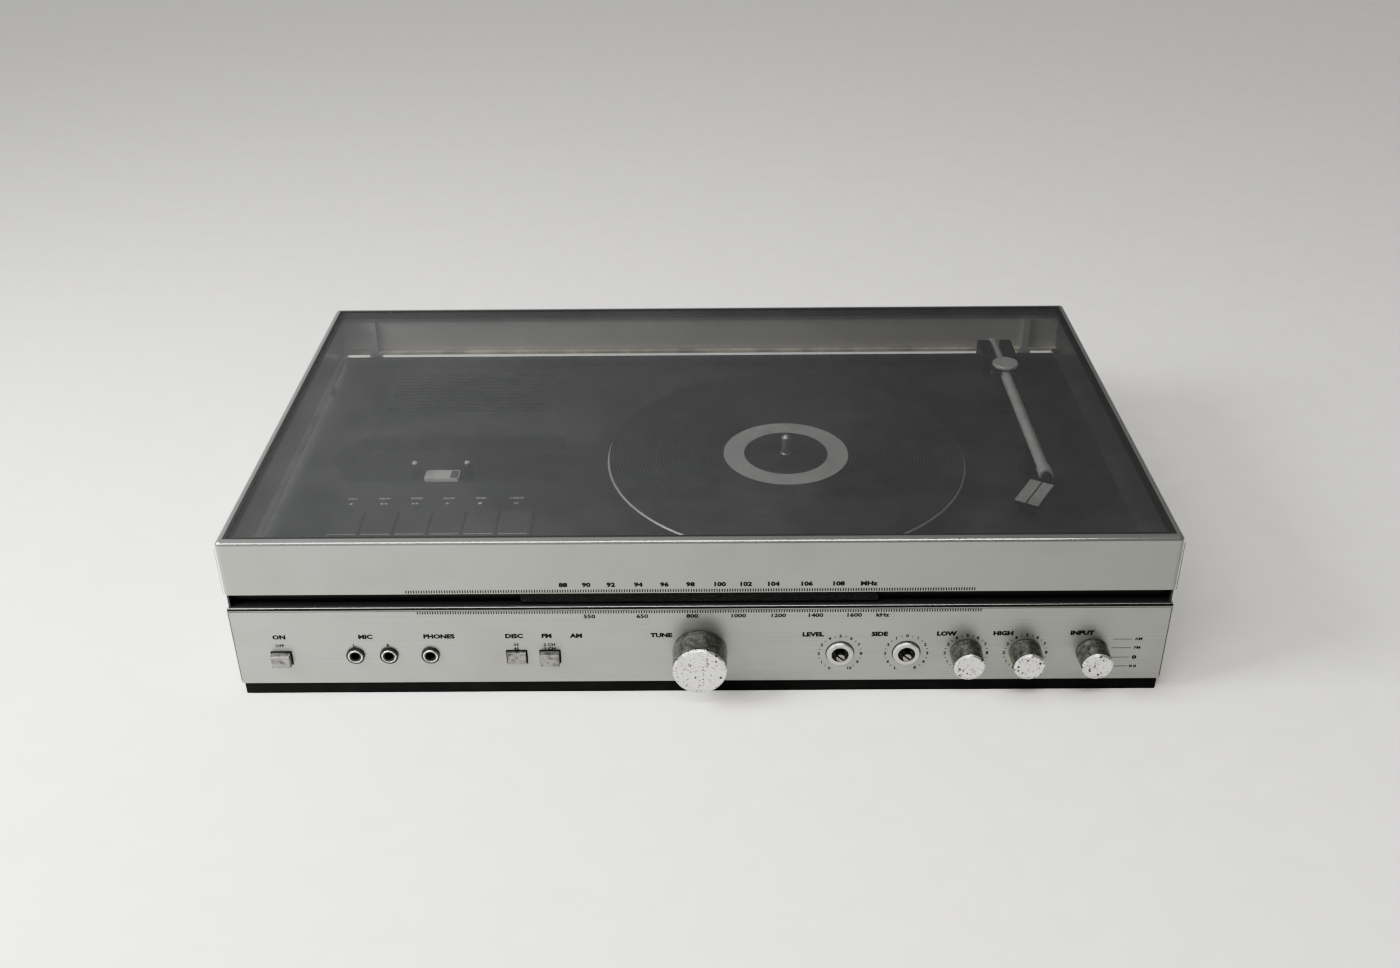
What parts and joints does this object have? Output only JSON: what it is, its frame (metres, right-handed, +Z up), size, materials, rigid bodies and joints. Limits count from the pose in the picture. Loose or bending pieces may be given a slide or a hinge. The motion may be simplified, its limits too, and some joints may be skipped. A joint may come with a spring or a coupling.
{
  "type": "record player with radio",
  "caption": "Low music centre with a belt-driven turntable and tonearm, an open cassette well with piano keys, a radio dial and controls on the front, under a hinged smoked lid.",
  "frame": {"origin": "on the surface that the feet stand on, under the middle of the whole object's box", "axes": "+X to the right as seen from the front, +Y to the back, +Z up"},
  "size_m": [0.66, 0.4192, 0.1305],
  "materials": {
    "silver_paint": "satin silver paint with light wear",
    "brushed_silver": "fine brushed, satin",
    "black_plastic": "fine moulded grain",
    "deck_finish": "dark grey, fine grain",
    "key_plastic": "dark grey satin",
    "smoked_acrylic": "clear smoked, polished, dusty",
    "mat_rubber": "fine concentric ribs",
    "black_rubber": "matt",
    "satin_aluminium": "satin turned",
    "bright_steel": "bright turned",
    "pitted_chrome": "chrome plating with dark pits",
    "button_grey": "silver plating, worn",
    "nickel": "nickel plating",
    "socket_black": "matt moulded",
    "plated_metal": "zinc plated",
    "core_steel": "laminated core, varnished",
    "board_laminate": "phenolic board",
    "pale_plastic": "pale translucent plastic",
    "brass_pulley": "turned",
    "weight_black": "black satin coating",
    "pointer_red": "glossy"
  },
  "bodies": {
    "chassis": {"base_tray": "black_plastic", "feet": "black_rubber", "cabinet_shell": "silver_paint", "front_panel": "brushed_silver", "deck_plate": "deck_finish", "vent_grille": "deck_finish", "cassette_tray": "black_plastic", "tape_light": "pale_plastic", "tape_mechanism": "black_plastic", "key_rod": "bright_steel", "platter_bearing": "bright_steel", "turntable_motor": "plated_metal", "drive_belt": "black_rubber", "arm_base": "black_plastic", "arm_rest": "black_plastic", "dial_trough": "black_plastic", "dial_window": "smoked_acrylic", "control_units": "black_plastic", "shaft_collars": "nickel", "jack_sockets": "socket_black", "jack_nuts": "nickel", "transformer": "core_steel", "main_board": "board_laminate", "tuner_unit": "plated_metal", "socket_panel": "black_plastic", "cable_gland": "black_plastic", "hinge_brackets": "bright_steel", "lid_buffers": "black_rubber"},
    "lid": {"lid_frame": "silver_paint", "lid_pane": "smoked_acrylic", "hinge_arms": "silver_paint"},
    "turntable": {"platter": "satin_aluminium", "platter_mat": "mat_rubber", "spindle": "bright_steel"},
    "pulley": {"motor_pulley": "brass_pulley"},
    "arm_fork": {"arm_yoke": "black_plastic", "arm_cap": "satin_aluminium"},
    "tonearm": {"arm_tube": "satin_aluminium", "headshell": "black_plastic", "headshell_plate": "satin_aluminium", "cartridge": "black_plastic"},
    "arm_weight": {"counterweight": "weight_black"},
    "supply_reel": {"supply_spindle": "bright_steel"},
    "takeup_reel": {"takeup_spindle": "bright_steel"},
    "tuning": {"tuning_knob": "pitted_chrome"},
    "pointer": {"dial_pointer": "pointer_red"},
    "bass": {"bass_knob": "pitted_chrome"},
    "treble": {"treble_knob": "pitted_chrome"},
    "selector": {"selector_knob": "pitted_chrome"},
    "volume": {"volume_shaft": "bright_steel"},
    "balance": {"balance_shaft": "bright_steel"},
    "power": {"power_button": "button_grey"},
    "speed": {"speed_button": "button_grey"},
    "stereo": {"stereo_button": "button_grey"},
    "record_key": {"key_record": "key_plastic"},
    "rewind_key": {"key_rewind": "key_plastic"},
    "wind_key": {"key_wind": "key_plastic"},
    "play_key": {"key_play": "key_plastic"},
    "stop_key": {"key_stop": "key_plastic"},
    "pause_key": {"key_pause": "key_plastic"}
  },
  "joints": [
    {"name": "lid_hinge", "type": "hinge", "parent": "chassis", "child": "lid", "pos_m": [0, 0.199, 0.0845], "axis": [-1, 0, 0], "range_deg": [0, 65]},
    {"name": "platter_spin", "type": "hinge", "parent": "chassis", "child": "turntable", "pos_m": [0.069, -0.003, 0.0885], "axis": [0, 0, -1], "continuous": true},
    {"name": "pulley_spin", "type": "hinge", "parent": "chassis", "child": "pulley", "pos_m": [-0.02524, 0.06801, 0.0855], "axis": [0, 0, -1], "continuous": true},
    {"name": "arm_swing", "type": "hinge", "parent": "chassis", "child": "arm_fork", "pos_m": [0.263, 0.112, 0.0935], "axis": [0, 0, -1], "range_deg": [0, 40]},
    {"name": "arm_lift", "type": "hinge", "parent": "arm_fork", "child": "tonearm", "pos_m": [0.263, 0.112, 0.10725], "axis": [-1, 0, 0], "range_deg": [0, 3]},
    {"name": "weight_slide", "type": "slide", "parent": "tonearm", "child": "arm_weight", "axis": [0, 1, 0], "range_m": [-0.006, 0.006]},
    {"name": "supply_spin", "type": "hinge", "parent": "chassis", "child": "supply_reel", "pos_m": [-0.23125, 0.01, 0.0725], "axis": [0, 0, 1], "continuous": true},
    {"name": "takeup_spin", "type": "hinge", "parent": "chassis", "child": "takeup_reel", "pos_m": [-0.18875, 0.01, 0.0725], "axis": [0, 0, 1], "continuous": true},
    {"name": "tuning_turn", "type": "hinge", "parent": "chassis", "child": "tuning", "pos_m": [0, -0.187, 0.0356], "axis": [0, 1, 0], "range_deg": [-1545, 250]},
    {"name": "pointer_slide", "type": "slide", "parent": "chassis", "child": "pointer", "axis": [1, 0, 0], "range_m": [-0.172, 0.028]},
    {"name": "record_press", "type": "hinge", "parent": "chassis", "child": "record_key", "pos_m": [-0.2668, -0.063, 0.0675], "axis": [1, 0, 0], "range_deg": [0, 10], "stiffness_Nm_per_rad": 2},
    {"name": "rewind_press", "type": "hinge", "parent": "chassis", "child": "rewind_key", "pos_m": [-0.2412, -0.063, 0.0675], "axis": [1, 0, 0], "range_deg": [0, 10], "stiffness_Nm_per_rad": 2},
    {"name": "wind_press", "type": "hinge", "parent": "chassis", "child": "wind_key", "pos_m": [-0.2156, -0.063, 0.0675], "axis": [1, 0, 0], "range_deg": [0, 10], "stiffness_Nm_per_rad": 2},
    {"name": "play_press", "type": "hinge", "parent": "chassis", "child": "play_key", "pos_m": [-0.19, -0.063, 0.0675], "axis": [1, 0, 0], "range_deg": [0, 10], "stiffness_Nm_per_rad": 2},
    {"name": "stop_press", "type": "hinge", "parent": "chassis", "child": "stop_key", "pos_m": [-0.1644, -0.063, 0.0675], "axis": [1, 0, 0], "range_deg": [0, 10], "stiffness_Nm_per_rad": 2},
    {"name": "pause_press", "type": "hinge", "parent": "chassis", "child": "pause_key", "pos_m": [-0.1388, -0.063, 0.0675], "axis": [1, 0, 0], "range_deg": [0, 10], "stiffness_Nm_per_rad": 2},
    {"name": "volume_turn", "type": "hinge", "parent": "chassis", "child": "volume", "pos_m": [0.0995, -0.187, 0.0345], "axis": [0, 1, 0], "range_deg": [-150, 150]},
    {"name": "balance_turn", "type": "hinge", "parent": "chassis", "child": "balance", "pos_m": [0.1466, -0.187, 0.0345], "axis": [0, 1, 0], "range_deg": [-150, 150]},
    {"name": "bass_turn", "type": "hinge", "parent": "chassis", "child": "bass", "pos_m": [0.189, -0.187, 0.0345], "axis": [0, 1, 0], "range_deg": [-150, 150]},
    {"name": "treble_turn", "type": "hinge", "parent": "chassis", "child": "treble", "pos_m": [0.231, -0.187, 0.0345], "axis": [0, 1, 0], "range_deg": [-150, 150]},
    {"name": "selector_turn", "type": "hinge", "parent": "chassis", "child": "selector", "pos_m": [0.2785, -0.187, 0.0345], "axis": [0, 1, 0], "range_deg": [-45, 45]},
    {"name": "power_press", "type": "slide", "parent": "chassis", "child": "power", "axis": [0, 1, 0], "range_m": [0, 0.0035], "stiffness_N_per_m": 400},
    {"name": "speed_press", "type": "slide", "parent": "chassis", "child": "speed", "axis": [0, 1, 0], "range_m": [-0.0031, 0.0004]},
    {"name": "stereo_press", "type": "slide", "parent": "chassis", "child": "stereo", "axis": [0, 1, 0], "range_m": [0, 0.0035], "stiffness_N_per_m": 400}
  ],
  "couplings": [
    {"joint": "pulley_spin", "follows": "platter_spin", "ratio": 13.667},
    {"joint": "pointer_slide", "follows": "tuning_turn", "m_per_rad": 0.006366}
  ]
}
